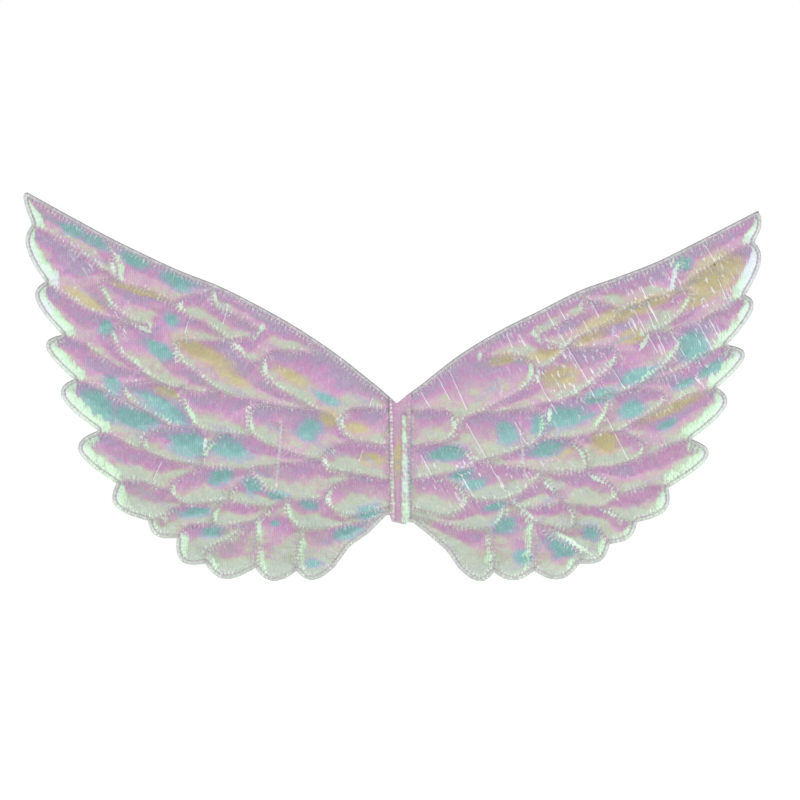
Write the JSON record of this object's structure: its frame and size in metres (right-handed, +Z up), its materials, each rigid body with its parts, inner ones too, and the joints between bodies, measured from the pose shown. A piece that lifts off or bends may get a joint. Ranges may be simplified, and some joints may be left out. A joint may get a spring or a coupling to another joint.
{
  "type": "fairy wings",
  "caption": "Soft quilted fairy wings in iridescent film fabric, joined by a pleated centre strip, with an elastic arm loop behind each wing.",
  "frame": {"origin": "back face of the tape behind the centre strip, on the centre line, where it rests against the wearer's back", "axes": "+Z up as worn, -Y out of the shiny front, +Y towards the wearer, +X to the right of someone looking at the front"},
  "size_m": [0.5164, 0.103, 0.2727],
  "materials": {
    "film_fabric": "iridescent film on cloth, shifting from pink and lilac to teal, gold and mint",
    "backing": "plain pale satin weave",
    "wadding": "loose polyester wadding",
    "thread": "twisted polyester thread",
    "elastic": "white woven elastic"
  },
  "bodies": {
    "spine": {"centre_strip": "film_fabric", "centre_back_tape": "backing", "left_strip_stitching": "thread", "right_strip_stitching": "thread"},
    "left_wing": {"left_front_fabric": "film_fabric", "left_wadding": "wadding", "left_back_fabric": "backing", "left_edge_stitching": "thread", "left_quilt_stitching": "thread", "left_anchor_stitching": "thread", "left_elastic_sewn_end": "elastic", "left_loop_join_stitching": "thread"},
    "left_loop": {"left_elastic_loop": "elastic"},
    "right_wing": {"right_front_fabric": "film_fabric", "right_wadding": "wadding", "right_back_fabric": "backing", "right_edge_stitching": "thread", "right_quilt_stitching": "thread", "right_anchor_stitching": "thread", "right_elastic_sewn_end": "elastic", "right_loop_join_stitching": "thread"},
    "right_loop": {"right_elastic_loop": "elastic"}
  },
  "joints": [
    {"name": "left_wing_fold", "type": "hinge", "parent": "spine", "child": "left_wing", "pos_m": [-0.0084, -0.0015, 0], "axis": [0, 0, 1], "range_deg": [-20, 85]},
    {"name": "right_wing_fold", "type": "hinge", "parent": "spine", "child": "right_wing", "pos_m": [0.0076, -0.0015, 0], "axis": [0, 0, -1], "range_deg": [-20, 85]},
    {"name": "left_loop_swing", "type": "hinge", "parent": "left_wing", "child": "left_loop", "pos_m": [-0.085, 0.005, 0], "axis": [0, 0, 1], "range_deg": [-20, 75]},
    {"name": "right_loop_swing", "type": "hinge", "parent": "right_wing", "child": "right_loop", "pos_m": [0.085, 0.005, 0], "axis": [0, 0, -1], "range_deg": [-20, 75]}
  ]
}
